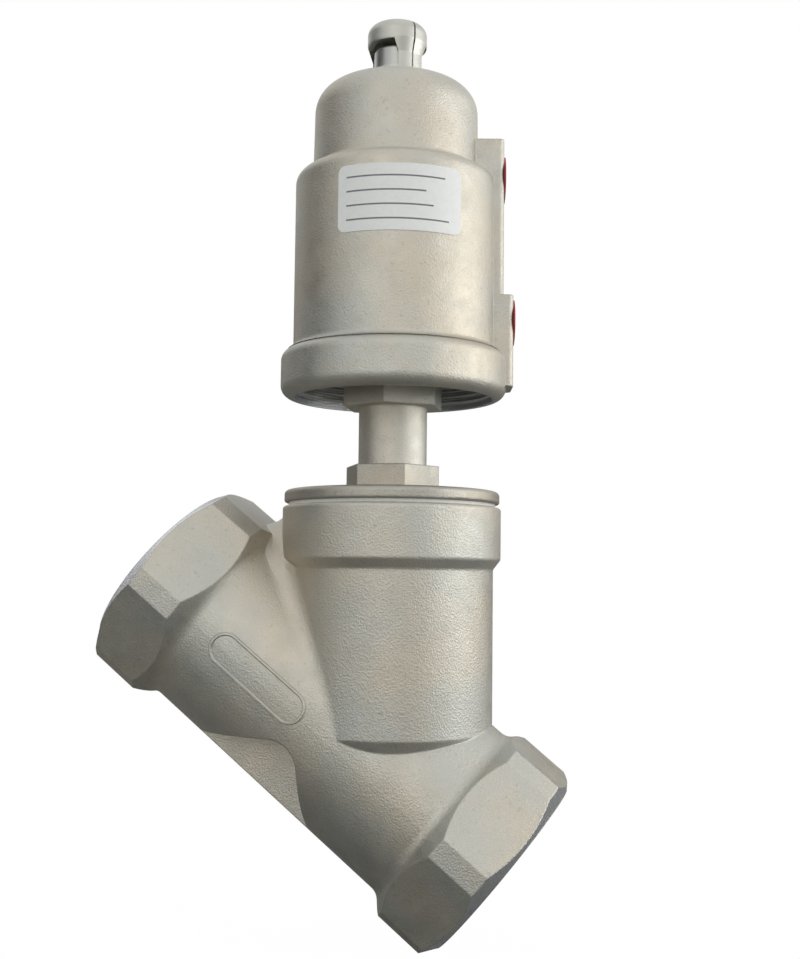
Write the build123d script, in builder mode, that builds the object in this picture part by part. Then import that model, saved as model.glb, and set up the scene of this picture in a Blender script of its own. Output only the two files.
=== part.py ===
from build123d import *

import os
from math import cos, radians, sin, tan

os.makedirs("parts", exist_ok=True)

# Angle seat valve, DN 50: a Y-pattern stainless body with two threaded ports, a bonnet with
# spring-loaded stem packing, and a single-acting piston actuator that turns on the yoke tube.
#
# The stem stands upright along +Z and the pipe run falls towards +X, in the plane Y = 0. The origin is the centre
# of the inlet port's face, under the seat. Heights named below are counted from the crossing
# of the pipe axis and the stem axis. All sizes are in millimetres.

# ---------------------------------------------------------------- driving dimensions
# Pipe run
pipe_fall = 39.4  # degrees by which the run falls below the horizontal
inlet_reach = 48.9  # inlet face to the crossing
outlet_reach = 101.1  # outlet face to the crossing
port_bore_radius = 29.8  # G 2 thread, major radius
port_bore_depth = 24.0
port_rim_radius = 32.4  # where the end chamfer meets the port's face
port_hex_across = 68.6
port_corner_across = 75.1  # across the small flats that truncate the hexagon's corners
port_hex_length = 20.8  # face to the far end of the flats at their corners
port_chamfer_angle = 54.5  # of the machined end chamfer, from the pipe axis
port_back_angle = 46.0  # of the cast cone behind the flats, from the pipe axis
barrel_radius = 32.5
barrel_wall = 5.5
passage_radius = 22.0  # bend from the inlet up to the seat
passage_bend = 34.0  # centreline radius of that bend
pocket_top = 11.2  # height of the cast pocket's upper edge
pocket_side = 24.0  # stem axis to the pocket's end, beside the bend
pocket_corner = 9.0
pocket_web = 20.0  # web left standing between the two pockets

# Neck, seat and collar
chamber_gap = 2.9  # between the seat's lip and the chamber's wall
neck_wall = 4.5
neck_foot = 12.0  # height of the neck's lower edge
neck_foot_length = 4.5  # cone under that edge
neck_foot_inset = 3.0
seat_height = 17.2
seat_lip_height = 2.0
seat_lip_width = 4.6
collar_top = 85.5
collar_thread_step = 1.5  # collar's thread beyond the chamber
collar_wall = 5.5
collar_length = 17.3
collar_chamfer_length = 3.2
collar_thread_length = 18.0

# Bonnet
gasket_thickness = 1.1
gasket_width = 3.6
flange_inset = 0.5  # inside the collar's outline
flange_thickness = 4.2
flange_rounding = 1.6
bonnet_spigot_length = 16.0
bonnet_web = 6.0  # web that carries the lower stem guide
bonnet_recess = 5.0  # hollow under that web
bonnet_skirt = 7.0  # wall of the threaded spigot
bonnet_hex_across = 28.0
bonnet_hex_height = 8.4
bonnet_hex_turn = 55.0  # degrees from +X to a corner of the hexagon

# Yoke tube
tube_radius = 11.5
tube_bore_radius = 8.5
yoke_rise = 28.2  # bonnet flange to the underside of the upper hexagon
yoke_hex_across = 30.6
yoke_hex_height = 11.4
yoke_hex_turn = 31.0
swivel_radius = 12.0  # spigot that the actuator turns on
groove_depth = 1.4
groove_slack = 0.1  # above and below a ring in its groove
tube_proud = 3.0  # tube above the lower cover
washer_thickness = 0.8
washer_inset = 0.1  # inside the flats of the hexagon
swivel_groove_rise = 3.0
swivel_groove_height = 2.4
retainer_play = 0.15
retainer_ring_thickness = 1.2
retainer_ring_proud = 2.6
retainer_ring_arc = 330.0

# Stem and packing
stem_radius = 5.0
thread_radius = 4.0  # reduced ends of the stem
stem_shoulder_rise = 16.0  # seat to the stem's lower shoulder
stem_tail = 12.0  # stem below the seat
stem_end_length = 16.5  # stem above the piston
packing_seat_height = 3.0
packing_washer_height = 2.0
packing_ring_count = 5
packing_ring_height = 2.6
packing_ring_rise = 1.4
packing_wire = 1.5
packing_coils = 5
gland_length = 19.5
wiper_height = 3.0
wiper_wall = 1.2  # gland's wall outside the wiper
wiper_recess = 0.4
wiper_lip = 0.6

# Plug
plug_lift = 20.0  # full stroke of the stem
plug_overhang = 0.8  # beyond the seat's lip
plug_edge = 6.4
plug_hub_radius = 9.5
plug_hub_height = 19.0
seal_inset = 0.2  # inside the lip's outline
seal_width = 11.4
seal_thickness = 4.0
retainer_gap = 1.0  # inside the passage
retainer_thickness = 3.5
plug_nut_across = 14.0
plug_nut_height = 7.0
pin_radius = 1.25
pin_rise = 4.0  # stem's lower shoulder to the pin
seal_skirt = 2.2  # seal left showing under the plug's rim
plug_slope = 2.5

# Actuator housing
actuator_turn = 9.7  # degrees from the run's plane to the air ports
cylinder_bore_radius = 31.5
cylinder_wall = 2.5
ring_proud = 4.0  # ring beyond the cylinder
ring_height = 16.0
ring_rounding = 4.0
ring_back_rounding = 3.6
ring_cove = 2.0
recess_step = 2.0  # recess beyond the cylinder's bore
recess_depth = 9.35
cover_thickness = 9.6
cover_spigot_length = 3.0
cover_spigot_wall = 4.5
cover_groove_rise = 0.8
cover_groove_height = 1.6
cover_groove_depth = 1.3
spanner_hole_count = 4
spanner_hole_radius = 2.0
spanner_hole_depth = 4.0
spanner_hole_inset = 6.1  # holes' circle inside the cylinder's bore
shoulder_rise = 77.0  # ring's lower edge to the shoulder
shoulder_rounding = 6.0
shoulder_cove = 1.8
shoulder_width = 5.8
spring_tower_draft = 0.5  # how much narrower the tower is at its top
spring_tower_rise = 31.0
tower_rounding = 10.0
tower_inner_rounding = 4.5
tower_wall = 2.9
roof_thickness = 4.0
tower_step = 2.0  # slope inside, from the cylinder's roof to the tower

# Air ports
air_port_radius = 4.3  # G 1/8 thread, tapping radius
upper_port_drop = 1.0  # below the shoulder
lower_port_rise = 0.4  # edge of the port above the cylinder's floor
upper_pad_proud = 2.7  # beyond the cylinder
lower_pad_proud = 2.0  # beyond the ring
pad_half_width = 8.0
pad_rounding = 2.0
upper_pad_top = 11.0  # above the shoulder
port_ring_radius = 7.8
port_ring_margin = 0.4  # between a ring and the end of its pad
port_ring_bore = 5.4
port_ring_thickness = 0.6

# Piston and springs
piston_slack = 0.5  # radial, of the piston's lands in the cylinder
piston_height = 12.0
piston_web = 4.5
piston_hub_radius = 9.5
piston_rim_width = 5.5
piston_seal_height = 3.8
guide_ring_height = 2.2
seal_groove_rise = 3.4
seal_groove_depth = 2.6
seal_waist = 0.8
guide_groove_gap = 1.4  # land between the two grooves
guide_groove_depth = 1.4
piston_rest_gap = 1.0  # lower port's edge to the piston at rest
piston_hub_gap = 3.0
piston_nut_across = 13.0
piston_nut_height = 6.5
outer_wire = 4.0
outer_coils = 6
inner_coil_radius = 13.4
inner_wire = 2.8
inner_coils = 7
spring_seat_thickness = 2.0
spring_seat_inset = 4.7  # inside the spring tower's bore
outer_coil_inset = 4.7  # inside the spring tower's bore

# Indicator
rod_radius = 4.0
rod_coupling_wall = 2.2
rod_coupling_web = 4.0
rod_proud = 3.0  # rod above its bush at full lift
socket_gap = 0.2
bush_radius = 7.9
bush_height = 13.1
bush_thread_radius = 6.0
cap_foot_radius = 9.0
cap_head_radius = 10.2
cap_sill = 5.4
cap_rim = 14.2
cap_height = 21.8
cap_crown = 3.2
cap_flare_low = 10.2
cap_flare_high = 14.8
cap_rounding = 3.6
cap_window_width = 15.1
cap_window_turn = 36.5  # degrees from the label's side to the middle of a post
cap_groove = 0.6

# Rating label, bare
label_width = 39.2
label_height = 21.6
label_offset = 1.9
label_thickness = 0.2
label_corner = 2.4
label_drop = 0.2  # below the end of the shoulder's rounding

# Clearances
seat_gap = 0.05  # between faces that bear on each other but move apart
thread_gap = 0.05  # radial, between pieces screwed or pressed together
running_gap = 0.05  # radial, round what slides or turns
open_gap = 0.5  # between pieces that must not touch
laid_gap = 0.02  # under the label
cut_past = 1.0  # overlap of a cut or a joined body with what it meets

# ---------------------------------------------------------------- frame and helpers
stem_x = -inlet_reach * cos(radians(pipe_fall))
stem_z = inlet_reach * sin(radians(pipe_fall))
pipe_direction = Vector(cos(radians(pipe_fall)), 0, -sin(radians(pipe_fall)))
crossing = Vector(stem_x, 0, stem_z)
stem_axis = Axis((stem_x, 0, stem_z), (0, 0, 1))
stem_section = Plane(origin=crossing, x_dir=(1, 0, 0), z_dir=(0, -1, 0))


def level(height):
    """Horizontal plane at a height above the crossing, centred on the stem axis."""
    return Plane(origin=(stem_x, 0, stem_z + height))


def across_pipe(reach, toward_inlet):
    """Plane square to the run, facing out of a port; reach is counted from the crossing."""
    side = 1 if toward_inlet else -1
    outward = pipe_direction * side
    return Plane(crossing + outward * reach, x_dir=(0, -1, 0), z_dir=outward)


def outline(*points, radii=0.0):
    """Closed outline of (radius, height) points beside the stem axis, with rounded corners."""
    with BuildSketch(stem_section) as profile:
        with BuildLine():
            FilletPolyline(*points, radius=radii, close=True)
        make_face()
    return profile.sketch


def sleeve(inner, outer, low, high):
    """Outline of a plain sleeve between two radii and two heights."""
    return outline((inner, low), (outer, low), (outer, high), (inner, high))


def coil_spring(coil_radius, wire, coils, low, high):
    """Compression spring with ground ends between two heights."""
    pitch = (high - low) / coils
    with BuildPart() as spring:
        with BuildLine(level(low)) as centreline:
            Helix(pitch=pitch, height=high - low, radius=coil_radius)
        with BuildSketch(Plane(centreline.line @ 0, z_dir=centreline.line % 0)):
            Circle(wire / 2)
        sweep(path=centreline.line, is_frenet=True)
        split(bisect_by=level(low), keep=Keep.TOP)
        split(bisect_by=level(high), keep=Keep.BOTTOM)
    return spring


# ---------------------------------------------------------------- radii from the seat outwards
seat_lip_radius = passage_radius + seat_lip_width
chamber_radius = seat_lip_radius + chamber_gap
neck_radius = chamber_radius + neck_wall
collar_thread_radius = chamber_radius + collar_thread_step
collar_radius = collar_thread_radius + collar_wall
flange_radius = collar_radius - flange_inset
plug_radius = seat_lip_radius + plug_overhang
seal_radius = seat_lip_radius - seal_inset
seal_bore_radius = seal_radius - seal_width
retainer_radius = passage_radius - retainer_gap

# ---------------------------------------------------------------- radii from the cylinder outwards
cylinder_radius = cylinder_bore_radius + cylinder_wall
ring_radius = cylinder_radius + ring_proud
recess_radius = cylinder_bore_radius + recess_step
spring_tower_radius = cylinder_radius - shoulder_width
upper_pad_face = cylinder_radius + upper_pad_proud
lower_pad_face = ring_radius + lower_pad_proud
piston_radius = cylinder_bore_radius - piston_slack
spring_seat_radius = spring_tower_radius - tower_wall - spring_seat_inset
outer_coil_radius = spring_tower_radius - tower_wall - outer_coil_inset
spanner_hole_circle = cylinder_bore_radius - spanner_hole_inset

# ---------------------------------------------------------------- heights up the stem
chamber_floor = seat_height - seat_lip_height
flange_low = collar_top + gasket_thickness
flange_top = flange_low + flange_thickness
bonnet_hex_top = flange_top + bonnet_hex_height
bonnet_low = collar_top - bonnet_spigot_length
tube_foot = bonnet_low + bonnet_web + bonnet_recess
yoke_hex_low = flange_top + yoke_rise
yoke_hex_top = yoke_hex_low + yoke_hex_height
cover_low = yoke_hex_top + washer_thickness + seat_gap
cover_top = cover_low + cover_thickness
ring_low = cover_low - recess_depth
ring_top = ring_low + ring_height
cylinder_floor = cover_top + cover_spigot_length
shoulder = ring_low + shoulder_rise
roof = shoulder + spring_tower_rise
tube_top = cover_top + tube_proud
lower_port_height = cylinder_floor + air_port_radius + lower_port_rise
upper_port_height = shoulder - upper_port_drop
piston_low = lower_port_height + air_port_radius + piston_rest_gap
piston_top = piston_low + piston_height
piston_hub_low = tube_top + piston_hub_gap
spring_low = piston_low + piston_web
spring_high = roof - roof_thickness - spring_seat_thickness
stem_shoulder = seat_height + stem_shoulder_rise
stem_low = seat_height - stem_tail
stem_top = piston_top + stem_end_length

# ---------------------------------------------------------------- valve body
hex_corner_radius = port_hex_across / 2 / cos(radians(30))
chamfer_run = (hex_corner_radius - port_rim_radius) / tan(radians(port_chamfer_angle))
back_start = port_hex_length - (hex_corner_radius - port_corner_across / 2) / tan(radians(port_back_angle))
back_run = (hex_corner_radius - barrel_radius + cut_past) / tan(radians(port_back_angle))


def port_end(reach, toward_inlet):
    """Hexagonal port end with truncated corners, chamfered at its face and coned at its back."""
    face = across_pipe(reach, toward_inlet)
    section = Plane(face.origin, x_dir=(0, -1, 0), z_dir=Vector(0, -1, 0).cross(face.z_dir))
    with BuildPart() as port:
        with BuildSketch(face):
            RegularPolygon(radius=port_hex_across / 2, side_count=6, major_radius=False)
            RegularPolygon(
                radius=port_corner_across / 2,
                side_count=6,
                major_radius=False,
                rotation=30,
                mode=Mode.INTERSECT,
            )
        extrude(amount=-(back_start + back_run))
        with BuildSketch(section):
            with BuildLine():
                Polyline(
                    (0, 0),
                    (port_rim_radius, 0),
                    (hex_corner_radius, -chamfer_run),
                    (hex_corner_radius, -back_start),
                    (barrel_radius - cut_past, -(back_start + back_run)),
                    (0, -(back_start + back_run)),
                    close=True,
                )
            make_face()
        revolve(axis=Axis(face.origin, face.z_dir), mode=Mode.INTERSECT)
    return port.part


# The outlet bore runs along the pipe into the neck, above the chamber's floor and round the
# outside of the seat's lip.
outlet_bore_radius = barrel_radius - barrel_wall
with BuildPart() as outlet_passage:
    with BuildSketch(across_pipe(outlet_reach - port_bore_depth, False)):
        Circle(outlet_bore_radius)
    extrude(amount=-(outlet_reach - port_bore_depth))
    split(bisect_by=level(chamber_floor), keep=Keep.TOP)
    revolve(
        sleeve(0, seat_lip_radius, chamber_floor - cut_past, seat_height),
        axis=stem_axis,
        mode=Mode.SUBTRACT,
    )

with BuildPart() as valve_body:
    with BuildSketch(across_pipe(outlet_reach, False)):
        Circle(barrel_radius)
    extrude(amount=-(outlet_reach + inlet_reach))
    revolve(
        outline(
            (0, neck_foot - neck_foot_length),
            (neck_radius - neck_foot_inset, neck_foot - neck_foot_length),
            (neck_radius, neck_foot),
            (neck_radius, collar_top - collar_length - collar_chamfer_length),
            (collar_radius, collar_top - collar_length),
            (collar_radius, collar_top),
            (0, collar_top),
            radii=[0, 0, 1.0, 1.5, 1.5, 1.2, 0],
        ),
        axis=stem_axis,
    )
    add(port_end(inlet_reach, True))
    add(port_end(outlet_reach, False))
    # Chamber in the neck, with the seat's lip left standing, and the bonnet's thread above it
    revolve(
        outline(
            (0, seat_height),
            (seat_lip_radius, seat_height),
            (seat_lip_radius, chamber_floor),
            (chamber_radius, chamber_floor),
            (chamber_radius, collar_top - collar_thread_length),
            (collar_thread_radius, collar_top - collar_thread_length),
            (collar_thread_radius, collar_top + cut_past),
            (0, collar_top + cut_past),
        ),
        axis=stem_axis,
        mode=Mode.SUBTRACT,
    )
    add(outlet_passage.part, mode=Mode.SUBTRACT)
    for reach, toward_inlet in ((inlet_reach, True), (outlet_reach, False)):
        with BuildSketch(across_pipe(reach, toward_inlet)):
            Circle(port_bore_radius)
        extrude(amount=-port_bore_depth, mode=Mode.SUBTRACT)
    # Bend from the inlet bore up through the seat
    bend_start = inlet_reach - port_bore_depth + cut_past
    with BuildLine(stem_section) as bend:
        FilletPolyline(
            (bend_start * cos(radians(pipe_fall)), -bend_start * sin(radians(pipe_fall))),
            (0, 0),
            (0, seat_height + cut_past),
            radius=passage_bend,
        )
    with BuildSketch(across_pipe(bend_start, True)):
        Circle(passage_radius)
    sweep(path=bend.line, mode=Mode.SUBTRACT)
    # Cast pocket on each side, under the outlet passage and beside the bend
    for side in (-1, 1):
        with BuildSketch(stem_section.offset(side * pocket_web / 2)):
            with BuildLine():
                FilletPolyline(
                    (-3 * barrel_radius, pocket_top),
                    (-pocket_side, pocket_top),
                    (-pocket_side, -2 * barrel_radius),
                    (-3 * barrel_radius, -2 * barrel_radius),
                    radius=[0, pocket_corner, 0, 0],
                    close=True,
                )
            make_face()
        extrude(amount=side * barrel_radius, mode=Mode.SUBTRACT)

# ---------------------------------------------------------------- bonnet
with BuildPart() as bonnet_gasket:
    revolve(
        sleeve(collar_thread_radius, collar_thread_radius + gasket_width, collar_top, flange_low),
        axis=stem_axis,
    )

bonnet_spigot_radius = collar_thread_radius - thread_gap
guide_bore_radius = tube_bore_radius - open_gap
with BuildPart() as bonnet_cover:
    revolve(
        outline(
            (0, bonnet_low),
            (bonnet_spigot_radius, bonnet_low),
            (bonnet_spigot_radius, flange_low),
            (flange_radius, flange_low),
            (flange_radius, flange_top),
            (0, flange_top),
            radii=[0, 1.0, 0, flange_rounding / 2, flange_rounding, 0],
        ),
        axis=stem_axis,
    )
    with BuildSketch(level(flange_top)):
        RegularPolygon(
            bonnet_hex_across / 2, side_count=6, major_radius=False, rotation=bonnet_hex_turn
        )
    extrude(amount=bonnet_hex_height)
    # Hollow underside, guide bore and the socket that the tube is screwed into
    revolve(
        outline(
            (0, bonnet_low - cut_past),
            (bonnet_spigot_radius - bonnet_skirt, bonnet_low - cut_past),
            (bonnet_spigot_radius - bonnet_skirt, tube_foot - bonnet_web),
            (guide_bore_radius, tube_foot - bonnet_web),
            (guide_bore_radius, tube_foot),
            (tube_radius + thread_gap, tube_foot),
            (tube_radius + thread_gap, bonnet_hex_top + cut_past),
            (0, bonnet_hex_top + cut_past),
        ),
        axis=stem_axis,
        mode=Mode.SUBTRACT,
    )

with BuildPart() as stem_guide:
    revolve(
        sleeve(
            stem_radius + running_gap,
            guide_bore_radius - thread_gap,
            tube_foot - bonnet_web,
            tube_foot,
        ),
        axis=stem_axis,
    )

# ---------------------------------------------------------------- yoke tube
swivel_groove_low = cover_low + swivel_groove_rise
retainer_groove_low = cover_top + retainer_play
with BuildPart() as yoke_tube:
    revolve(sleeve(0, tube_radius, tube_foot, yoke_hex_low + cut_past), axis=stem_axis)
    with BuildSketch(level(yoke_hex_low)):
        RegularPolygon(yoke_hex_across / 2, side_count=6, major_radius=False, rotation=yoke_hex_turn)
    extrude(amount=yoke_hex_height)
    revolve(
        outline(
            (0, yoke_hex_top - cut_past),
            (swivel_radius, yoke_hex_top - cut_past),
            (swivel_radius, swivel_groove_low),
            (swivel_radius - groove_depth, swivel_groove_low),
            (swivel_radius - groove_depth, swivel_groove_low + swivel_groove_height),
            (swivel_radius, swivel_groove_low + swivel_groove_height),
            (swivel_radius, retainer_groove_low),
            (swivel_radius - groove_depth, retainer_groove_low),
            (swivel_radius - groove_depth, retainer_groove_low + retainer_ring_thickness),
            (swivel_radius, retainer_groove_low + retainer_ring_thickness),
            (swivel_radius, tube_top),
            (0, tube_top),
        ),
        axis=stem_axis,
    )
    revolve(
        sleeve(0, tube_bore_radius, tube_foot - cut_past, tube_top + cut_past),
        axis=stem_axis,
        mode=Mode.SUBTRACT,
    )

with BuildPart() as swivel_o_ring:
    revolve(
        sleeve(
            swivel_radius - groove_depth,
            swivel_radius,
            swivel_groove_low + groove_slack,
            swivel_groove_low + swivel_groove_height - groove_slack,
        ),
        axis=stem_axis,
    )

with BuildPart() as thrust_washer:
    revolve(
        sleeve(
            swivel_radius + thread_gap,
            yoke_hex_across / 2 - washer_inset,
            yoke_hex_top,
            yoke_hex_top + washer_thickness,
        ),
        axis=stem_axis,
    )

with BuildPart() as retaining_ring:
    revolve(
        sleeve(
            swivel_radius - groove_depth,
            swivel_radius + retainer_ring_proud,
            retainer_groove_low,
            retainer_groove_low + retainer_ring_thickness,
        ),
        axis=stem_axis,
        revolution_arc=retainer_ring_arc,
    )

# ---------------------------------------------------------------- stem packing
packing_inner = stem_radius + running_gap
packing_outer = tube_bore_radius - thread_gap
packing_middle = (packing_inner + packing_outer) / 2
packing_low = tube_foot + packing_seat_height
packing_high = packing_low + packing_ring_count * (packing_ring_height + thread_gap) + packing_ring_rise
gland_low = tube_top - gland_length

with BuildPart() as packing_seat:
    revolve(sleeve(packing_inner, packing_outer, tube_foot, packing_low), axis=stem_axis)

with BuildPart() as packing_rings:
    for index in range(packing_ring_count):
        foot = packing_low + index * (packing_ring_height + thread_gap)
        revolve(
            outline(
                (packing_inner, foot),
                (packing_middle, foot + packing_ring_rise),
                (packing_outer, foot),
                (packing_outer, foot + packing_ring_height),
                (packing_middle, foot + packing_ring_height + packing_ring_rise),
                (packing_inner, foot + packing_ring_height),
            ),
            axis=stem_axis,
        )

with BuildPart() as packing_washer:
    revolve(
        sleeve(packing_inner, packing_outer, packing_high, packing_high + packing_washer_height),
        axis=stem_axis,
    )

packing_spring = coil_spring(
    packing_middle,
    packing_wire,
    packing_coils,
    packing_high + packing_washer_height,
    gland_low,
)

wiper_radius = packing_outer - wiper_wall
with BuildPart() as gland_bush:
    revolve(
        outline(
            (packing_inner, gland_low),
            (packing_outer, gland_low),
            (packing_outer, tube_top),
            (wiper_radius, tube_top),
            (wiper_radius, tube_top - wiper_height),
            (packing_inner, tube_top - wiper_height),
        ),
        axis=stem_axis,
    )

with BuildPart() as stem_wiper:
    revolve(
        outline(
            (packing_inner, tube_top - wiper_height),
            (wiper_radius - thread_gap, tube_top - wiper_height),
            (wiper_radius - thread_gap, tube_top - wiper_recess),
            (packing_inner + 2 * wiper_lip, tube_top - wiper_recess),
            (packing_inner + wiper_lip, tube_top + wiper_lip),
            (packing_inner, tube_top + wiper_lip),
        ),
        axis=stem_axis,
    )

# ---------------------------------------------------------------- stem and plug
pin_height = stem_shoulder + pin_rise
pin_line = Plane(crossing + Vector(0, 0, pin_height), x_dir=(1, 0, 0), z_dir=(0, 1, 0))
with BuildPart() as stem:
    revolve(
        outline(
            (0, stem_low),
            (thread_radius, stem_low),
            (thread_radius, stem_shoulder),
            (stem_radius, stem_shoulder),
            (stem_radius, piston_hub_low),
            (thread_radius, piston_hub_low),
            (thread_radius, stem_top),
            (0, stem_top),
        ),
        axis=stem_axis,
    )
    with BuildSketch(pin_line):
        Circle(pin_radius + running_gap)
    extrude(amount=plug_radius, both=True, mode=Mode.SUBTRACT)

seal_low = seat_height + seat_gap
seal_top = seal_low + seal_thickness
plug_edge_top = seal_top + plug_edge
plug_hub_top = seal_top + plug_hub_height
with BuildPart() as plug:
    revolve(
        outline(
            (thread_radius + thread_gap, seal_top),
            (seal_radius + thread_gap, seal_top),
            (seal_radius + thread_gap, seal_low + seal_skirt),
            (plug_radius, seal_low + seal_skirt),
            (plug_radius, plug_edge_top - plug_slope),
            (plug_hub_radius, plug_edge_top + plug_slope),
            (plug_hub_radius, plug_hub_top),
            (stem_radius + thread_gap, plug_hub_top),
            (stem_radius + thread_gap, stem_shoulder),
            (thread_radius + thread_gap, stem_shoulder),
            radii=[0, 0, 0, 0, 1.0, 2.0, 1.0, 0, 0, 0],
        ),
        axis=stem_axis,
    )
    with BuildSketch(pin_line):
        Circle(pin_radius + running_gap)
    extrude(amount=plug_radius, both=True, mode=Mode.SUBTRACT)

with BuildPart() as plug_pin:
    with BuildSketch(pin_line):
        Circle(pin_radius)
    extrude(amount=plug_hub_radius, both=True)

with BuildPart() as plug_seal:
    revolve(sleeve(seal_bore_radius, seal_radius, seal_low, seal_top), axis=stem_axis)

retainer_low = seal_low - retainer_thickness
with BuildPart() as plug_retainer:
    revolve(
        outline(
            (thread_radius + thread_gap, retainer_low),
            (retainer_radius, retainer_low),
            (retainer_radius, seal_low),
            (seal_bore_radius - thread_gap, seal_low),
            (seal_bore_radius - thread_gap, seal_top),
            (thread_radius + thread_gap, seal_top),
            radii=[0, 1.5, 0, 0, 0, 0],
        ),
        axis=stem_axis,
    )

with BuildPart() as plug_nut:
    with BuildSketch(level(retainer_low)):
        RegularPolygon(plug_nut_across / 2, side_count=6, major_radius=False)
        Circle(thread_radius + thread_gap, mode=Mode.SUBTRACT)
    extrude(amount=-plug_nut_height)

# ---------------------------------------------------------------- piston
seal_groove_low = piston_low + seal_groove_rise
guide_groove_low = seal_groove_low + piston_seal_height + guide_groove_gap
seal_groove_radius = piston_radius - seal_groove_depth
guide_groove_radius = piston_radius - guide_groove_depth
piston_outer_land = cylinder_bore_radius - running_gap
with BuildPart() as piston:
    revolve(
        outline(
            (thread_radius + thread_gap, piston_hub_low),
            (piston_hub_radius, piston_hub_low),
            (piston_hub_radius, piston_low),
            (piston_radius, piston_low),
            (piston_radius, seal_groove_low),
            (seal_groove_radius, seal_groove_low),
            (seal_groove_radius, seal_groove_low + piston_seal_height),
            (piston_radius, seal_groove_low + piston_seal_height),
            (piston_radius, guide_groove_low),
            (guide_groove_radius, guide_groove_low),
            (guide_groove_radius, guide_groove_low + guide_ring_height),
            (piston_radius, guide_groove_low + guide_ring_height),
            (piston_radius, piston_top),
            (piston_radius - piston_rim_width, piston_top),
            (piston_radius - piston_rim_width, spring_low),
            (piston_hub_radius, spring_low),
            (piston_hub_radius, piston_top),
            (thread_radius + thread_gap, piston_top),
        ),
        axis=stem_axis,
    )

with BuildPart() as piston_seal:
    revolve(
        outline(
            (seal_groove_radius, seal_groove_low + groove_slack),
            (piston_outer_land, seal_groove_low + groove_slack),
            (piston_outer_land - seal_waist, seal_groove_low + piston_seal_height / 2),
            (piston_outer_land, seal_groove_low + piston_seal_height - groove_slack),
            (seal_groove_radius, seal_groove_low + piston_seal_height - groove_slack),
        ),
        axis=stem_axis,
    )

with BuildPart() as piston_guide_ring:
    revolve(
        sleeve(
            guide_groove_radius,
            piston_outer_land,
            guide_groove_low + groove_slack,
            guide_groove_low + guide_ring_height - groove_slack,
        ),
        axis=stem_axis,
    )

with BuildPart() as piston_nut:
    with BuildSketch(level(piston_top)):
        RegularPolygon(piston_nut_across / 2, side_count=6, major_radius=False)
        Circle(thread_radius + thread_gap, mode=Mode.SUBTRACT)
    extrude(amount=piston_nut_height)

bush_top = roof + bush_height
rod_socket_low = piston_top + piston_nut_height + socket_gap
rod_coupling_radius = rod_radius + rod_coupling_wall
rod_coupling_top = stem_top + rod_coupling_web
rod_top = bush_top + rod_proud - plug_lift
with BuildPart() as indicator_rod:
    revolve(
        outline(
            (thread_radius + thread_gap, rod_socket_low),
            (rod_coupling_radius, rod_socket_low),
            (rod_coupling_radius, rod_coupling_top),
            (rod_radius, rod_coupling_top + rod_coupling_wall),
            (rod_radius, rod_top),
            (0, rod_top),
            (0, stem_top + socket_gap),
            (thread_radius + thread_gap, stem_top + socket_gap),
            radii=[0, 0, 0, 0, 1.0, 0, 0, 0],
        ),
        axis=stem_axis,
    )

# ---------------------------------------------------------------- actuator housing
tower_bore_radius = spring_tower_radius - tower_wall
pad_step = lower_port_height + port_ring_radius + port_ring_margin
with BuildPart() as actuator_housing:
    revolve(
        outline(
            (0, ring_low),
            (ring_radius, ring_low),
            (ring_radius, ring_top),
            (cylinder_radius, ring_top),
            (cylinder_radius, shoulder),
            (spring_tower_radius, shoulder),
            (spring_tower_radius - spring_tower_draft, roof),
            (0, roof),
            radii=[
                0,
                ring_rounding,
                ring_back_rounding,
                ring_cove,
                shoulder_rounding - shoulder_cove,
                shoulder_cove,
                tower_rounding,
                0,
            ],
        ),
        axis=stem_axis,
    )
    # Pads for the two air ports
    for face, low, high in (
        (upper_pad_face, pad_step, shoulder + upper_pad_top),
        (lower_pad_face, ring_low + ring_rounding, pad_step),
    ):
        with BuildSketch(level(low)):
            with Locations((face / 2, 0)):
                Rectangle(face, 2 * pad_half_width)
            corners = vertices().group_by(Axis.X)[-1]
            fillet(corners, pad_rounding)
        extrude(amount=high - low)
    # Cylinder bore, spring tower and the recess that the lower cover is screwed into
    revolve(
        outline(
            (0, ring_low - cut_past),
            (recess_radius, ring_low - cut_past),
            (recess_radius, cover_top),
            (cylinder_bore_radius, cover_top),
            (cylinder_bore_radius, shoulder - roof_thickness),
            (tower_bore_radius, shoulder - roof_thickness + tower_step),
            (tower_bore_radius, roof - roof_thickness),
            (0, roof - roof_thickness),
            radii=[0, 0, 0, 0, 3.0, 1.5, tower_inner_rounding, 0],
        ),
        axis=stem_axis,
        mode=Mode.SUBTRACT,
    )
    revolve(
        sleeve(0, bush_thread_radius + thread_gap, roof - roof_thickness - cut_past, roof + cut_past),
        axis=stem_axis,
        mode=Mode.SUBTRACT,
    )
    for face, height in ((upper_pad_face, upper_port_height), (lower_pad_face, lower_port_height)):
        with BuildSketch(Plane(crossing + Vector(face, 0, height), x_dir=(0, 1, 0), z_dir=(1, 0, 0))):
            Circle(air_port_radius)
        extrude(amount=-(face - tower_bore_radius + cut_past), mode=Mode.SUBTRACT)

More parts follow.
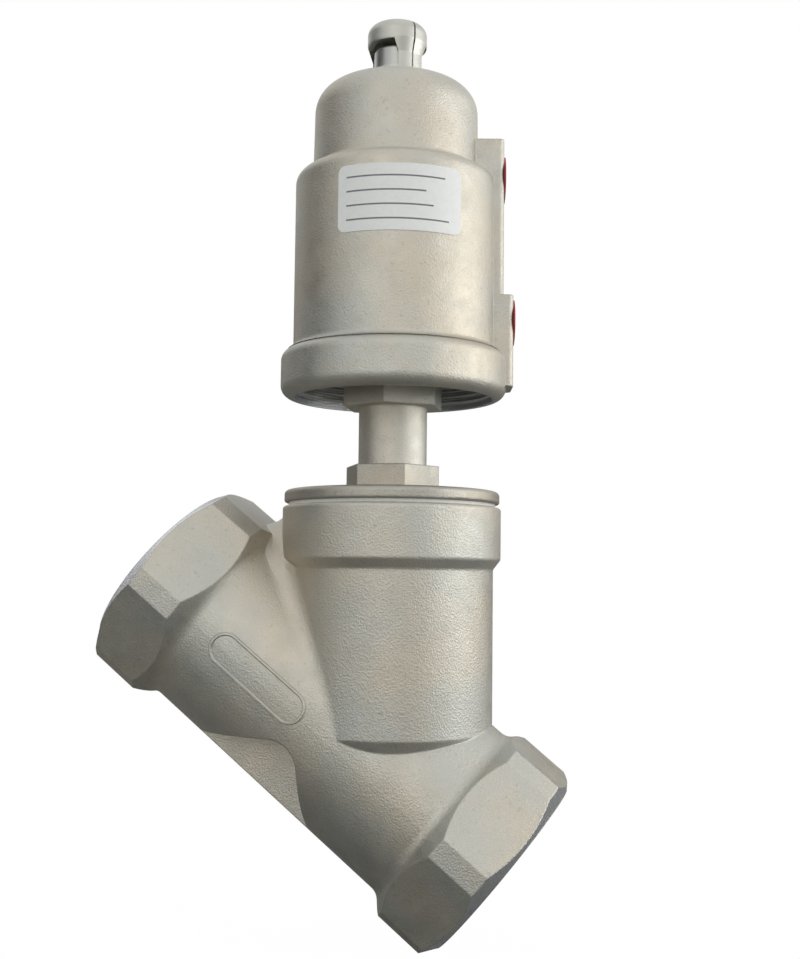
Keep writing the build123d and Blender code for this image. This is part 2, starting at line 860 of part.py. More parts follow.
cover_radius = recess_radius - thread_gap
spigot_radius = cylinder_bore_radius - thread_gap
cover_groove_low = cover_top + cover_groove_rise
cover_groove_radius = spigot_radius - cover_groove_depth
with BuildPart() as lower_cover:
    revolve(
        outline(
            (swivel_radius + running_gap, cover_low),
            (cover_radius, cover_low),
            (cover_radius, cover_top),
            (spigot_radius, cover_top),
            (spigot_radius, cover_groove_low),
            (cover_groove_radius, cover_groove_low),
            (cover_groove_radius, cover_groove_low + cover_groove_height),
            (spigot_radius, cover_groove_low + cover_groove_height),
            (spigot_radius, cylinder_floor),
            (spigot_radius - cover_spigot_wall, cylinder_floor),
            (spigot_radius - cover_spigot_wall, cover_top),
            (swivel_radius + running_gap, cover_top),
        ),
        axis=stem_axis,
    )
    with BuildSketch(level(cover_low)):
        with PolarLocations(spanner_hole_circle, spanner_hole_count, start_angle=45):
            Circle(spanner_hole_radius)
    extrude(amount=spanner_hole_depth, mode=Mode.SUBTRACT)

with BuildPart() as cover_o_ring:
    revolve(
        sleeve(
            cover_groove_radius,
            spigot_radius,
            cover_groove_low + groove_slack,
            cover_groove_low + cover_groove_height - groove_slack,
        ),
        axis=stem_axis,
    )

with BuildPart() as spring_seat:
    revolve(
        sleeve(bush_thread_radius + open_gap, spring_seat_radius, spring_high, roof - roof_thickness),
        axis=stem_axis,
    )

outer_spring = coil_spring(outer_coil_radius, outer_wire, outer_coils, spring_low, spring_high)
inner_spring = coil_spring(inner_coil_radius, inner_wire, inner_coils, spring_low, spring_high)

# ---------------------------------------------------------------- indicator
with BuildPart() as guide_bush:
    revolve(
        outline(
            (rod_radius + running_gap, spring_high),
            (bush_thread_radius, spring_high),
            (bush_thread_radius, roof),
            (bush_radius, roof),
            (bush_radius, bush_top),
            (rod_radius + running_gap, bush_top),
            radii=[0, 0, 0, 0, 1.4, 0],
        ),
        axis=stem_axis,
    )

cap_bore_radius = bush_radius + thread_gap
with BuildPart() as indicator_cap:
    revolve(
        outline(
            (cap_bore_radius, roof),
            (cap_foot_radius, roof),
            (cap_foot_radius, roof + cap_flare_low),
            (cap_head_radius, roof + cap_flare_high),
            (cap_head_radius, roof + cap_height),
            (0, roof + cap_height),
            (0, roof + cap_height - cap_crown),
            (cap_bore_radius, roof + cap_height - cap_crown),
            radii=[0, 0, 0, 1.0, cap_rounding, 0, 0, 0],
        ),
        axis=stem_axis,
    )
    window = level(roof + cap_sill).rotated((0, 0, cap_window_turn))
    with BuildSketch(window):
        Rectangle(4 * cap_head_radius, cap_window_width)
    extrude(amount=cap_rim - cap_sill, mode=Mode.SUBTRACT)
    # Fine groove down the middle of each post
    with BuildSketch(level(roof).rotated((0, 0, cap_window_turn))):
        for side in (-1, 1):
            with Locations((0, side * cap_head_radius)):
                Rectangle(cap_groove, 2 * (cap_head_radius - cap_foot_radius + open_gap))
    extrude(amount=cap_height, mode=Mode.SUBTRACT)

# ---------------------------------------------------------------- label and port rings
label_top = shoulder - shoulder_rounding - label_drop
with BuildPart() as rating_label:
    with BuildSketch(Plane(crossing, x_dir=(1, 0, 0), z_dir=(0, -1, 0))):
        with Locations((label_offset, label_top - label_height / 2)):
            RectangleRounded(label_width, label_height, label_corner)
    extrude(amount=cylinder_radius + cut_past)
    revolve(
        sleeve(
            cylinder_radius + laid_gap,
            cylinder_radius + laid_gap + label_thickness,
            label_top - label_height - cut_past,
            label_top + cut_past,
        ),
        axis=stem_axis,
        mode=Mode.INTERSECT,
    )


def port_ring(face, height):
    """Flat coloured ring on a pad, round an air port."""
    with BuildPart() as ring:
        with BuildSketch(Plane(crossing + Vector(face, 0, height), x_dir=(0, 1, 0), z_dir=(1, 0, 0))):
            Circle(port_ring_radius)
            Circle(port_ring_bore, mode=Mode.SUBTRACT)
        extrude(amount=port_ring_thickness)
    return ring


upper_port_ring = port_ring(upper_pad_face, upper_port_height)
lower_port_ring = port_ring(lower_pad_face, lower_port_height)

# ---------------------------------------------------------------- hand-over
# The actuator is drawn with its air ports towards +X, and turned on the yoke tube here.
valve_pieces = {
    "valve_body": valve_body,
    "bonnet_gasket": bonnet_gasket,
    "bonnet_cover": bonnet_cover,
    "stem_guide": stem_guide,
    "yoke_tube": yoke_tube,
    "swivel_o_ring": swivel_o_ring,
    "thrust_washer": thrust_washer,
    "retaining_ring": retaining_ring,
    "packing_seat": packing_seat,
    "packing_rings": packing_rings,
    "packing_washer": packing_washer,
    "packing_spring": packing_spring,
    "gland_bush": gland_bush,
    "stem_wiper": stem_wiper,
    "stem": stem,
    "plug": plug,
    "plug_pin": plug_pin,
    "plug_seal": plug_seal,
    "plug_retainer": plug_retainer,
    "plug_nut": plug_nut,
    "piston": piston,
    "piston_seal": piston_seal,
    "piston_guide_ring": piston_guide_ring,
    "piston_nut": piston_nut,
    "indicator_rod": indicator_rod,
}
actuator_pieces = {
    "actuator_housing": actuator_housing,
    "lower_cover": lower_cover,
    "cover_o_ring": cover_o_ring,
    "spring_seat": spring_seat,
    "outer_spring": outer_spring,
    "inner_spring": inner_spring,
    "guide_bush": guide_bush,
    "indicator_cap": indicator_cap,
    "rating_label": rating_label,
    "upper_port_ring": upper_port_ring,
    "lower_port_ring": lower_port_ring,
}
for pieces, turn in ((valve_pieces, 0), (actuator_pieces, actuator_turn)):
    for name, piece in pieces.items():
        solid = piece.part.rotate(stem_axis, turn)
        solid.label = name
        export_step(solid, f"parts/{name}.step")
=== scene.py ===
from math import cos, pi, radians, sin, tan

import bmesh
import bpy
from mathutils import Matrix, Vector


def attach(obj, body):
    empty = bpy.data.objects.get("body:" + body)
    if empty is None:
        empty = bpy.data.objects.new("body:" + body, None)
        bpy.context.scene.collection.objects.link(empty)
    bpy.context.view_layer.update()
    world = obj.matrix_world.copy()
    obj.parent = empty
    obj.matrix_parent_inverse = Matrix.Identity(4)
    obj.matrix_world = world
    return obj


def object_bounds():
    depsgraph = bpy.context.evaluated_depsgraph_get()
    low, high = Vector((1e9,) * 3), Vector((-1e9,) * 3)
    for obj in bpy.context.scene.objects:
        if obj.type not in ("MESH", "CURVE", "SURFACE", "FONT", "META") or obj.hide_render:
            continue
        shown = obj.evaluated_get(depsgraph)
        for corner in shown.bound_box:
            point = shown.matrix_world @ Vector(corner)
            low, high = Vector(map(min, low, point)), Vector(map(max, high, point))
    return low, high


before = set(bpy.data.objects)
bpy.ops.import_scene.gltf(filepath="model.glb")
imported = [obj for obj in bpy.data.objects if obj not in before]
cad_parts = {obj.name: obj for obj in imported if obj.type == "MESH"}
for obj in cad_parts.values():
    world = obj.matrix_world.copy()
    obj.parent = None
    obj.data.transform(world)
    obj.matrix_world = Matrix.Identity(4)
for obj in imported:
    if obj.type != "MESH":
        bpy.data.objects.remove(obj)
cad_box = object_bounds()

# Angle seat valve: looks, light and camera. Lengths are in metres, and x, y, z are the frame's.

# ---------------------------------------------------------------- what the CAD says
MM = 0.001
PIPE_FALL = radians(39.4)
INLET_REACH = 48.9 * MM  # from the crossing of the axes to the port's face
OUTLET_REACH = 101.1 * MM
PIPE = Vector((cos(PIPE_FALL), 0.0, -sin(PIPE_FALL)))  # out of the inlet port
UP_PIPE = Vector((sin(PIPE_FALL), 0.0, cos(PIPE_FALL)))
UP = Vector((0.0, 0.0, 1.0))
FRONT = Vector((0.0, -1.0, 0.0))
CROSSING = -PIPE * INLET_REACH
STEM_X, STEM_Z = CROSSING.x, CROSSING.z
RING_LOW = STEM_Z + 121.9 * MM
COVER_LOW = STEM_Z + 131.25 * MM
ACTUATOR_TURN = radians(9.7)
CYLINDER_RADIUS = 34.0 * MM
NECK_RADIUS = 34.0 * MM
BARREL_RADIUS = 32.5 * MM
BORE_RADIUS = 29.8 * MM
RECESS_RADIUS = 33.5 * MM
HEX_LENGTH = 20.8 * MM
HEX_CORNER_RADIUS = 37.55 * MM
BACK_SLOPE = radians(46.0)  # of the cone behind a port's hexagon
BACK_LENGTH = HEX_LENGTH + (HEX_CORNER_RADIUS - BARREL_RADIUS) / tan(BACK_SLOPE)
BACK_REACH_OUT = OUTLET_REACH - BACK_LENGTH
BACK_REACH_IN = INLET_REACH - BACK_LENGTH
LABEL_TOP = 192.7 * MM  # above the stem's crossing
LABEL_MIDDLE = 1.9 * MM + ACTUATOR_TURN * CYLINDER_RADIUS  # along the cylinder's face


# ---------------------------------------------------------------- node helpers
class Tree:
    """Short hand for building one material's nodes."""

    def __init__(self, name):
        self.material = bpy.data.materials.new(name)
        self.material.use_nodes = True
        self.nodes = self.material.node_tree.nodes
        self.links = self.material.node_tree.links
        self.nodes.clear()
        self.out = self.nodes.new("ShaderNodeOutputMaterial")
        self.shader = self.nodes.new("ShaderNodeBsdfPrincipled")
        self.links.new(self.shader.outputs[0], self.out.inputs[0])
        self.coords = self.nodes.new("ShaderNodeTexCoord").outputs["Object"]

    def feed(self, value, socket):
        """Link a socket's output, or write a constant."""
        if isinstance(value, bpy.types.NodeSocket):
            self.links.new(value, socket)
        else:
            socket.default_value = value

    def math(self, operation, a, b=0.0):
        node = self.nodes.new("ShaderNodeMath")
        node.operation = operation
        self.feed(a, node.inputs[0])
        self.feed(b, node.inputs[1])
        return node.outputs[0]

    def product(self, *factors):
        result = factors[0]
        for factor in factors[1:]:
            result = self.math("MULTIPLY", result, factor)
        return result

    def vector(self, operation, a, b=(0.0, 0.0, 0.0)):
        node = self.nodes.new("ShaderNodeVectorMath")
        node.operation = operation
        self.feed(a, node.inputs[0])
        self.feed(b, node.inputs[1])
        return node.outputs["Value" if operation in ("DOT_PRODUCT", "LENGTH") else "Vector"]

    def noise(self, scale, detail, rough, where=None):
        node = self.nodes.new("ShaderNodeTexNoise")
        node.inputs["Scale"].default_value = scale
        node.inputs["Detail"].default_value = detail
        node.inputs["Roughness"].default_value = rough
        self.links.new(where or self.coords, node.inputs["Vector"])
        return node.outputs[0]

    def cells(self, scale):
        node = self.nodes.new("ShaderNodeTexVoronoi")
        node.inputs["Scale"].default_value = scale
        self.links.new(self.coords, node.inputs["Vector"])
        return node.outputs["Distance"]

    def span(self, value, low, high, to_low=0.0, to_high=1.0):
        """Map the range low..high to the range to_low..to_high, clamped."""
        node = self.nodes.new("ShaderNodeMapRange")
        self.feed(value, node.inputs["Value"])
        sockets = ("From Min", "From Max", "To Min", "To Max")
        for socket, number in zip(sockets, (low, high, to_low, to_high)):
            node.inputs[socket].default_value = number
        return node.outputs[0]

    def blend(self, factor, a, b):
        """Colour a where the factor is 0, colour b where it is 1."""
        node = self.nodes.new("ShaderNodeMix")
        node.data_type = "RGBA"
        self.feed(factor, node.inputs["Factor"])
        for value, socket in ((a, node.inputs[6]), (b, node.inputs[7])):
            linked = isinstance(value, bpy.types.NodeSocket)
            self.feed(value if linked else (*value, 1.0), socket)
        return node.outputs[2]

    def bump(self, height, distance, strength, below=None):
        node = self.nodes.new("ShaderNodeBump")
        node.inputs["Strength"].default_value = strength
        node.inputs["Distance"].default_value = distance
        self.links.new(height, node.inputs["Height"])
        if below is not None:
            self.links.new(below, node.inputs["Normal"])
        return node.outputs[0]

    def rounded(self, radius):
        """Normal that rounds the edges of a casting."""
        node = self.nodes.new("ShaderNodeBevel")
        node.samples = 6
        node.inputs["Radius"].default_value = radius
        return node.outputs[0]

    def set(self, **values):
        """Set the shader's sockets, named with _ for a space."""
        for name, value in values.items():
            if isinstance(value, tuple):
                value = (*value, 1.0)
            self.feed(value, self.shader.inputs[name.replace("_", " ")])

    def radius_from(self, origin, axis):
        """Distance from an axis through a point, in object space."""
        from_origin = self.vector("SUBTRACT", self.coords, tuple(origin))
        return self.vector("LENGTH", self.vector("CROSS_PRODUCT", from_origin, tuple(axis)))

    def along(self, origin, axis):
        """Distance from a point along an axis, in object space."""
        from_origin = self.vector("SUBTRACT", self.coords, tuple(origin))
        return self.vector("DOT_PRODUCT", from_origin, tuple(axis))


def shade(colour, factor):
    return tuple(c * factor for c in colour)


# ---------------------------------------------------------------- materials
CAST = (0.470, 0.452, 0.395)
CAST_WARM = (0.500, 0.462, 0.390)
CAST_COOL = (0.440, 0.448, 0.420)
MACHINED = (0.62, 0.64, 0.66)
MACHINED_ROUGHNESS = 0.3
FADE = 0.1 * MM  # width of a border drawn by a mask


def blasted(name, tone=1.0, rough=0.54, grain=1.0, edge=0.8 * MM):
    """Bead-blasted stainless casting; the tree comes back with its colour and roughness."""
    t = Tree(name)
    patches = t.noise(28.0, 3.0, 0.5)
    blotches = t.noise(140.0, 4.0, 0.6)
    specks = t.noise(1500.0, 2.0, 0.6)
    pits = t.noise(700.0, 2.0, 0.5)
    colour = t.blend(t.span(patches, 0.38, 0.62), shade(CAST_COOL, tone), shade(CAST_WARM, tone))
    for mask, lightness in (
        (t.span(blotches, 0.35, 0.7, 0.0, 0.35), 1.12),
        (t.span(specks, 0.62, 0.78, 0.0, 0.5), 1.35),
        (t.span(pits, 0.28, 0.36, 0.35, 0.0), 0.62),
    ):
        colour = t.blend(mask, colour, shade(CAST, tone * lightness))
    roughness = t.span(blotches, 0.3, 0.7, rough - 0.05, rough + 0.07)
    dimples = t.math("MULTIPLY", t.cells(1500.0), 0.7)
    peened = t.math("ADD", dimples, t.noise(1900.0, 3.0, 0.6))
    normal = t.bump(peened, 0.15 * MM, 0.65 * grain, below=t.rounded(edge) if edge else None)
    waves = t.noise(90.0, 2.0, 0.5)
    normal = t.bump(waves, 0.9 * MM, 0.12, below=normal)
    t.set(Base_Color=colour, Metallic=1.0, Roughness=roughness, Normal=normal)
    t.colour, t.roughness = colour, roughness
    return t


def machined_over(t, mask):
    """Machined metal where the mask is 1, over the blasted casting below."""
    turned = t.span(t.noise(900.0, 2.0, 0.5), 0.3, 0.7)
    bright = t.blend(turned, MACHINED, shade(MACHINED, 1.12))
    left_rough = t.product(t.roughness, t.math("SUBTRACT", 1.0, mask))
    t.set(
        Base_Color=t.blend(mask, t.colour, bright),
        Roughness=t.math("ADD", left_rough, t.product(mask, MACHINED_ROUGHNESS)),
    )


def body_metal():
    """Blasted casting with machined end faces and thread bores at both ports."""
    end_depth = 7.5 * MM  # how deep behind a port's rim its faces are machined
    bore_depth = 24.0 * MM
    bore_edge = BORE_RADIUS + 0.3 * MM
    run_middle = (OUTLET_REACH - INLET_REACH) / 2
    half_run = (OUTLET_REACH + INLET_REACH) / 2
    t = blasted("cast body")
    geometry = t.nodes.new("ShaderNodeNewGeometry")
    facing = t.vector("DOT_PRODUCT", geometry.outputs["True Normal"], tuple(PIPE))
    along = t.along(CROSSING, PIPE)
    ends = []
    for sign, reach in ((-1, OUTLET_REACH), (1, INLET_REACH)):
        faces_out = t.span(facing, sign * 0.4, sign * 0.6)
        edge = reach - end_depth
        ends.append(t.product(faces_out, t.span(along, sign * edge, sign * (edge + 3 * FADE))))
    inside = t.span(t.radius_from(CROSSING, PIPE), bore_edge, bore_edge - FADE)
    from_middle = t.math("ABSOLUTE", t.math("ADD", along, run_middle))
    bore_start = half_run - bore_depth
    bore = t.product(inside, t.span(from_middle, bore_start - FADE, bore_start))
    machined_over(t, t.math("MAXIMUM", t.math("MAXIMUM", *ends), bore))
    return t.material


def housing_metal():
    """Blasted casting with a machined recess below, where the cover is screwed in."""
    recess_edge = RECESS_RADIUS + 0.3 * MM
    recess_top = COVER_LOW + 2.0 * MM
    t = blasted("cast housing")
    radius = t.radius_from((STEM_X, 0.0, 0.0), UP)
    height = t.along((0.0, 0.0, 0.0), UP)
    inside = t.span(radius, recess_edge, recess_edge - 2 * FADE)
    machined_over(t, t.product(inside, t.span(height, recess_top, recess_top - FADE)))
    return t.material


def turned_metal(name, colour, rough):
    """Steel with fine rings round its vertical axis."""
    rings_scale, squeeze = 1200.0, 14.0
    t = Tree(name)
    mottled = t.span(t.noise(60.0, 3.0, 0.6), 0.35, 0.65)
    flattened = t.nodes.new("ShaderNodeMapping")
    flattened.inputs["Scale"].default_value = (1.0, 1.0, squeeze)
    t.links.new(t.coords, flattened.inputs["Vector"])
    grooves = t.noise(rings_scale / squeeze, 4.0, 0.7, where=flattened.outputs[0])
    t.set(
        Base_Color=t.blend(mottled, shade(colour, 0.92), shade(colour, 1.06)),
        Metallic=1.0,
        Roughness=t.span(grooves, 0.3, 0.7, rough - 0.06, rough + 0.08),
        Normal=t.bump(grooves, 0.06 * MM, 0.5),
    )
    return t.material


def soft(name, colour, rough):
    """Plastic, rubber or PTFE with a fine grain."""
    t = Tree(name)
    fine = t.noise(900.0, 3.0, 0.6)
    t.set(
        Base_Color=t.blend(t.span(fine, 0.3, 0.7), shade(colour, 0.9), colour),
        Roughness=t.span(fine, 0.3, 0.7, rough - 0.05, rough + 0.05),
        Normal=t.bump(fine, 0.05 * MM, 0.4),
    )
    return t.material


def label_film():
    """Pale film with a few plain ruled lines, each of its own length."""
    ruled_lines = ((4.0, 15.0), (8.6, 8.5), (13.2, 11.0), (17.8, 16.5))  # drop and right end, mm
    left_end = -17.3 * MM
    line_half, line_blur = 0.30 * MM, 0.08 * MM
    ink = (0.16, 0.17, 0.18)
    t = Tree("label film")
    from_stem = t.vector("SUBTRACT", t.coords, (STEM_X, 0.0, STEM_Z))
    parts = t.nodes.new("ShaderNodeSeparateXYZ")
    t.links.new(from_stem, parts.inputs[0])
    turn = t.math("ARCTAN2", parts.outputs["X"], t.product(parts.outputs["Y"], -1.0))
    across = t.math("SUBTRACT", t.product(turn, CYLINDER_RADIUS), LABEL_MIDDLE)
    lines = 0.0
    for drop, end in ruled_lines:
        off_line = t.math("SUBTRACT", parts.outputs["Z"], LABEL_TOP - drop * MM)
        ruled = t.product(
            t.span(t.math("ABSOLUTE", off_line), line_half, line_half - line_blur),
            t.span(across, left_end - FADE, left_end),
            t.span(across, end * MM + FADE, end * MM),
        )
        lines = t.math("MAXIMUM", lines, ruled)
    fine = t.noise(700.0, 2.0, 0.6)
    film = t.blend(t.span(fine, 0.3, 0.7), (0.90, 0.92, 0.91), (0.95, 0.97, 0.96))
    t.set(Base_Color=t.blend(lines, film, ink), Roughness=t.span(fine, 0.3, 0.7, 0.38, 0.46))
    return t.material


CAST_BODY = body_metal()
CAST_HOUSING = housing_metal()
CAST_FILLET = blasted("cast fillet", edge=0.0).material
# Lighter copy of the blasted steel for the yoke tube: a painted highlight that lifts the shade under
# the ring.
BLASTED_PAINTED_LIGHT = blasted("blasted steel", 1.12, 0.56, 0.8).material
# Darker copy of the blasted steel for the bonnet cover: painted shade that tones down its brightness.
BLASTED_PAINTED_SHADE = blasted("blasted steel, painted shade", 0.80, 0.52, 0.9).material
TURNED = turned_metal("turned steel", (0.42, 0.425, 0.41), 0.34)
POLISHED = turned_metal("ground steel", (0.60, 0.60, 0.59), 0.18)
CAP = turned_metal("moulded cap", (0.50, 0.50, 0.46), 0.46)
ALUMINIUM = turned_metal("turned aluminium", (0.72, 0.72, 0.73), 0.3)
WIRE = turned_metal("spring wire", (0.40, 0.40, 0.41), 0.35)
PTFE = soft("white seal", (0.80, 0.80, 0.77), 0.45)
RUBBER = soft("black rubber", (0.02, 0.02, 0.02), 0.6)
RED = soft("red plastic", (0.42, 0.02, 0.03), 0.4)
LABEL = label_film()

LOOKS = {
    CAST_BODY: "valve_body",
    CAST_HOUSING: "actuator_housing",
    BLASTED_PAINTED_LIGHT: "yoke_tube",
    BLASTED_PAINTED_SHADE: "bonnet_cover",
    TURNED: "lower_cover guide_bush gland_bush packing_seat packing_washer retaining_ring "
    "spring_seat piston_nut",
    POLISHED: "stem indicator_rod plug plug_retainer plug_nut plug_pin",
    CAP: "indicator_cap",
    ALUMINIUM: "piston",
    WIRE: "outer_spring inner_spring packing_spring",
    PTFE: "packing_rings plug_seal stem_guide piston_guide_ring thrust_washer bonnet_gasket",
    RUBBER: "swivel_o_ring cover_o_ring piston_seal stem_wiper",
    RED: "upper_port_ring lower_port_ring",
    LABEL: "rating_label",
}
for material, names in LOOKS.items():
    for name in names.split():
        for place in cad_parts[name].material_slots:
            place.material = material


# ---------------------------------------------------------------- pieces the CAD leaves to this file
BURIED = 0.6 * MM  # how far a fillet's hidden side lies inside the casting


def tube(name, rings, material, body, looped=True):
    """Closed skin over rings of as many points each; it closes on itself or gets two end caps."""
    count = len(rings[0])
    points = [tuple(p) for ring in rings for p in ring]
    faces = []
    for i in range(len(rings) if looped else len(rings) - 1):
        here, there = i * count, (i + 1) % len(rings) * count
        for j in range(count):
            k = (j + 1) % count
            faces.append((here + j, there + j, there + k, here + k))
    if not looped:
        faces.append(tuple(range(count)))
        faces.append(tuple(reversed(range(len(points) - count, len(points)))))
    mesh = bpy.data.meshes.new(name)
    mesh.from_pydata(points, [], faces)
    made = bmesh.new()
    made.from_mesh(mesh)
    bmesh.ops.recalc_face_normals(made, faces=made.faces)
    made.to_mesh(mesh)
    made.free()
    for face in mesh.polygons:
        face.use_smooth = True
    mesh.set_sharp_from_angle(angle=radians(35.0))
    mesh.materials.append(material)
    obj = bpy.data.objects.new(name, mesh)
    bpy.context.collection.objects.link(obj)
    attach(obj, body)


def thread(name, origin, axis, radius, depth, pitch, length, body):
    """Internal screw thread, cut helically, from the origin to that length along the axis."""
    back, root = 0.3 * MM, 0.05 * MM  # how far the skin's back and its roots lie in the wall
    flank, root_width = 2.6, 0.15  # steepness of a flank, and how wide a root stays
    side = axis.cross(FRONT).normalized()
    other = axis.cross(side)
    turns, steps = 120, int(length / pitch * 8)
    rings = []
    for i in range(turns):
        a = 2 * pi * i / turns
        out = side * cos(a) + other * sin(a)
        wall = out * (radius + back)
        ring = [origin + wall, origin + axis * length + wall]
        for j in range(steps, -1, -1):
            along = length * j / steps
            phase = (along / pitch - i / turns) % 1.0
            crest = max(0.0, min(1.0, flank * (0.5 - abs(phase - 0.5)) - root_width))
            fade = min(1.0, along / pitch, (length - along) / pitch)
            ring.append(origin + axis * along + out * (radius + root - depth * crest * fade))
        rings.append(ring)
    tube(name, rings, TURNED, body)


def neck_fillet(name, ball):
    """Cast fillet between the neck and the outlet barrel: the path of a ball that rolls along both."""
    count, arc_steps = 72, 10
    reach = 85.5  # degrees to each side; beyond it the ball's two contacts run together
    belly = 1.6 * MM
    to_neck, to_barrel = NECK_RADIUS + ball, BARREL_RADIUS + ball
    rings = []
    for i in range(count + 1):
        y = to_barrel * sin(radians(-reach + 2 * reach * i / count))
        x = -((to_neck**2 - y * y) ** 0.5)
        across = (to_barrel**2 - y * y) ** 0.5
        centre = Vector((x, y, (across - x * sin(PIPE_FALL)) / cos(PIPE_FALL)))
        on_neck = Vector((x, y, 0.0)) * (NECK_RADIUS / to_neck) + UP * centre.z
        foot = PIPE * centre.dot(PIPE)
        on_barrel = foot + (centre - foot) * (BARREL_RADIUS / to_barrel)
        into_neck = Vector((-x, -y, 0.0)).normalized()
        into_barrel = (foot - on_barrel).normalized()
        first, last = (on_neck - centre).normalized(), (on_barrel - centre).normalized()
        sweep = first.angle(last)
        ring = []
        for j in range(arc_steps + 1):
            k = j / arc_steps
            way = (first * sin((1 - k) * sweep) + last * sin(k * sweep)) / sin(sweep)
            ring.append(CROSSING + centre + way * ball)
        ring.append(CROSSING + on_barrel + into_barrel * BURIED)
        ring.append(CROSSING + (on_neck + on_barrel) / 2 + (into_barrel + into_neck) * belly)
        ring.append(CROSSING + on_neck + into_neck * BURIED)
        rings.append(ring)
    tube(name, rings, CAST_FILLET, "valve", looped=False)


def barrel_cove(name, reach, toward, ball):
    """Cast fillet round the barrel where a port's back cone stands up from it."""
    count, arc_steps = 120, 8
    overrun = 0.3 * MM
    tangent = ball * tan(BACK_SLOPE / 2)
    outward = PIPE * toward
    foot = CROSSING + PIPE * reach
    rings = []
    for i in range(count):
        a = 2 * pi * i / count
        out = FRONT * cos(a) + UP_PIPE * sin(a)
        centre = foot - outward * tangent + out * (BARREL_RADIUS + ball)
        ring = []
        for j in range(arc_steps + 1):
            k = BACK_SLOPE * j / arc_steps
            ring.append(centre - out * ball * cos(k) + outward * ball * sin(k))
        buried = out * (BARREL_RADIUS - BURIED)
        ring.append(foot + outward * (tangent + overrun) * cos(BACK_SLOPE) + buried)
        ring.append(foot - outward * tangent + buried)
        rings.append(ring)
    tube(name, rings, CAST_FILLET, "valve")


def cartouche(name, reach, turn, length, height, width, proud):
    """Raised line round an empty field with round ends, cast on the front of the outlet barrel."""
    count = 48
    # across the line in shares of its width, and up in shares of its height
    profile = ((-0.5, -0.4), (-0.5, 0.35), (-0.25, 1.0), (0.25, 1.0), (0.5, 0.35), (0.5, -0.4))
    half, radius = (length - height) / 2, height / 2
    rings = []
    for i in range(count):
        a = 2 * pi * i / count
        end = half if cos(a) >= 0 else -half
        ring = []
        for share, rise in profile:
            from_end = radius + share * width
            along = reach + end + from_end * cos(a)
            round_barrel = turn + from_end * sin(a) / BARREL_RADIUS
            out = FRONT * cos(round_barrel) + UP_PIPE * sin(round_barrel)
            ring.append(CROSSING + PIPE * along + out * (BARREL_RADIUS + rise * proud))
        rings.append(ring)
    tube(name, rings, CAST_FILLET, "valve")


PORT_PITCH, PORT_DEPTH, PORT_LENGTH = 2.309 * MM, 1.3 * MM, 21.0 * MM  # 11 threads an inch
PORT_LEAD = 1.2 * MM
COVER_PITCH, COVER_DEPTH, COVER_LEAD = 2.0 * MM, 1.0 * MM, 1.6 * MM
for name, start, way in (
    ("inlet_thread", PIPE * (INLET_REACH - PORT_LEAD), -PIPE),
    ("outlet_thread", -PIPE * (OUTLET_REACH - PORT_LEAD), PIPE),
):
    thread(name, CROSSING + start, way, BORE_RADIUS, PORT_DEPTH, PORT_PITCH, PORT_LENGTH, "valve")
thread(
    "cover_thread",
    Vector((STEM_X, 0.0, RING_LOW + COVER_LEAD)),
    UP,
    RECESS_RADIUS,
    COVER_DEPTH,
    COVER_PITCH,
    COVER_LOW - RING_LOW - COVER_PITCH,
    "actuator",
)
neck_fillet("neck_fillet", ball=7.0 * MM)
barrel_cove("outlet_cove", -BACK_REACH_OUT, -1.0, ball=5.0 * MM)
barrel_cove("inlet_cove", BACK_REACH_IN, 1.0, ball=5.0 * MM)
cartouche(
    "cast_cartouche",
    reach=-47.2 * MM,
    turn=radians(0.7),
    length=37.0 * MM,
    height=10.1 * MM,
    width=1.1 * MM,
    proud=0.5 * MM,
)


# ---------------------------------------------------------------- studio
MIDDLE = Vector((STEM_X, 0.0, STEM_Z + 110.0 * MM))


def flat(name, width, depth, matrix):
    mesh = bpy.data.meshes.new(name)
    made = bmesh.new()
    size = Matrix.Diagonal((width, depth, 1, 1))
    bmesh.ops.create_grid(made, x_segments=1, y_segments=1, size=0.5, matrix=size)
    made.to_mesh(mesh)
    made.free()
    obj = bpy.data.objects.new(name, mesh)
    obj.matrix_world = matrix
    bpy.context.collection.objects.link(obj)
    return obj


def turned_to_middle(direction, distance):
    """Placement that far from the valve's middle, looking back at it."""
    place = MIDDLE + Vector(direction).normalized() * distance
    turn = (MIDDLE - place).to_track_quat("-Z", "Y").to_matrix().to_4x4()
    return Matrix.Translation(place) @ turn


def pale_floor_paint():
    """Matt grey floor; the camera sees most of it as a white glow, so that only shadows show."""
    t = Tree("pale floor")
    t.set(Base_Color=(0.30, 0.30, 0.29), Roughness=0.9)
    glow = t.nodes.new("ShaderNodeEmission")
    glow.inputs["Strength"].default_value = 1.06
    path = t.nodes.new("ShaderNodeLightPath")
    mix = t.nodes.new("ShaderNodeMixShader")
    t.links.new(t.product(path.outputs["Is Camera Ray"], 0.93), mix.inputs[0])
    t.links.new(t.shader.outputs[0], mix.inputs[1])
    t.links.new(glow.outputs[0], mix.inputs[2])
    t.links.new(mix.outputs[0], t.out.inputs[0])
    return t.material


floor_gap = 0.2 * MM
floor = flat("floor", 8.0, 8.0, Matrix.Translation((0.0, 0.0, cad_box[0][2] - floor_gap)))
floor.data.materials.append(pale_floor_paint())

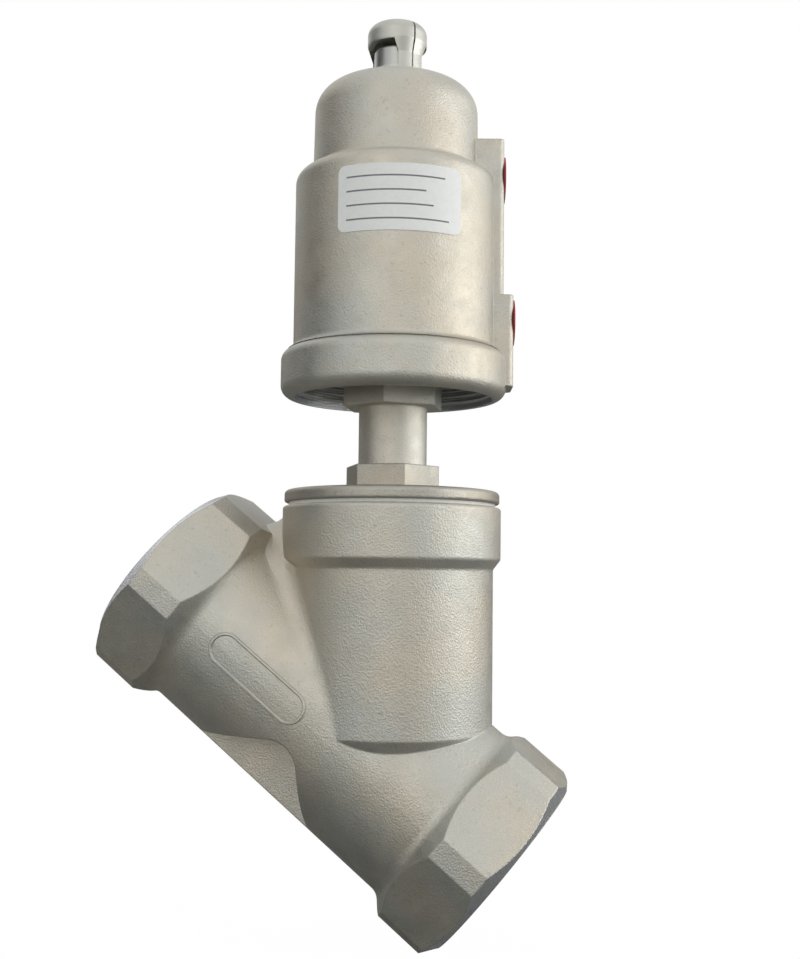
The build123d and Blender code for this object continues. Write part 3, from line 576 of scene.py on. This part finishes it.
# The camera and reflections see white; diffuse surfaces get a dimmer, slightly blue light
world = bpy.data.worlds.new("studio")
world.use_nodes = True
bpy.context.scene.world = world
nodes, links = world.node_tree.nodes, world.node_tree.links
nodes.clear()
out = nodes.new("ShaderNodeOutputWorld")
white = nodes.new("ShaderNodeBackground")
white.inputs["Color"].default_value = (1.0, 1.0, 1.0, 1.0)
white.inputs["Strength"].default_value = 1.0
dim = nodes.new("ShaderNodeBackground")
dim.inputs["Color"].default_value = (0.96, 0.98, 1.0, 1.0)
dim.inputs["Strength"].default_value = 0.5
path = nodes.new("ShaderNodeLightPath")
seen = path.outputs["Is Camera Ray"]
for ray in ("Is Glossy Ray", "Is Transmission Ray"):
    either = nodes.new("ShaderNodeMath")
    either.operation = "MAXIMUM"
    links.new(seen, either.inputs[0])
    links.new(path.outputs[ray], either.inputs[1])
    seen = either.outputs[0]
mix = nodes.new("ShaderNodeMixShader")
links.new(seen, mix.inputs[0])
links.new(dim.outputs[0], mix.inputs[1])
links.new(white.outputs[0], mix.inputs[2])
links.new(mix.outputs[0], out.inputs[0])

for name, direction, distance, size, watts, colour in (
    ("key", (1.0, 0.02, -0.12), 1.2, (1.3, 1.5), 16.0, (1.0, 0.99, 0.97)),
    ("front", (0.0, -1.0, 0.10), 1.4, (1.0, 1.0), 3.8, (1.0, 0.95, 0.87)),
    ("top", (0.1, -0.1, 1.0), 1.3, (0.9, 0.9), 0.8, (1.0, 1.0, 1.0)),
    ("left", (-0.8, -0.8, -0.2), 1.4, (0.7, 0.9), 2.2, (0.88, 0.97, 1.0)),
):
    data = bpy.data.lights.new(name, "AREA")
    data.shape = "RECTANGLE"
    data.size, data.size_y = size
    data.energy = watts
    data.color = colour
    lamp = bpy.data.objects.new(name, data)
    lamp.matrix_world = turned_to_middle(direction, distance)
    bpy.context.collection.objects.link(lamp)

# Dark cards that only reflections see, so that the metal's left side and undersides have depth
card = Tree("dark card")
card.set(Base_Color=(0.02, 0.02, 0.02), Roughness=1.0)
for name, direction, size in (
    ("card left", (-1.0, -0.10, 0.05), (1.0, 1.3)),
    ("card behind", (-0.1, 1.0, -0.1), (2.2, 1.0)),
):
    obj = flat(name, *size, turned_to_middle(direction, 1.0))
    obj.data.materials.append(card.material)
    obj.visible_camera = False
    obj.visible_diffuse = False
    obj.visible_shadow = False

# ---------------------------------------------------------------- camera
CAMERA_PLACE = Vector((STEM_X + 78.89 * MM, -410.99 * MM, STEM_Z + 63.03 * MM))
pitch, yaw, roll = radians(4.37), radians(-10.508), radians(0.655)
forward = Vector((sin(yaw) * cos(pitch), cos(yaw) * cos(pitch), sin(pitch)))
right = Vector((cos(yaw), -sin(yaw), 0.0))
up = right.cross(forward)
right_rolled = right * cos(roll) + up * sin(roll)
up_rolled = up * cos(roll) - right * sin(roll)
view = bpy.data.cameras.new("view")
view.lens = 46.8
view.sensor_width = 36.0
view.clip_start = 0.01
camera = bpy.data.objects.new("view", view)
turn = Matrix((right_rolled, up_rolled, -forward)).transposed().to_4x4()
camera.matrix_world = Matrix.Translation(CAMERA_PLACE) @ turn
bpy.context.collection.objects.link(camera)
bpy.context.scene.camera = camera
bpy.context.scene.view_settings.view_transform = "Standard"
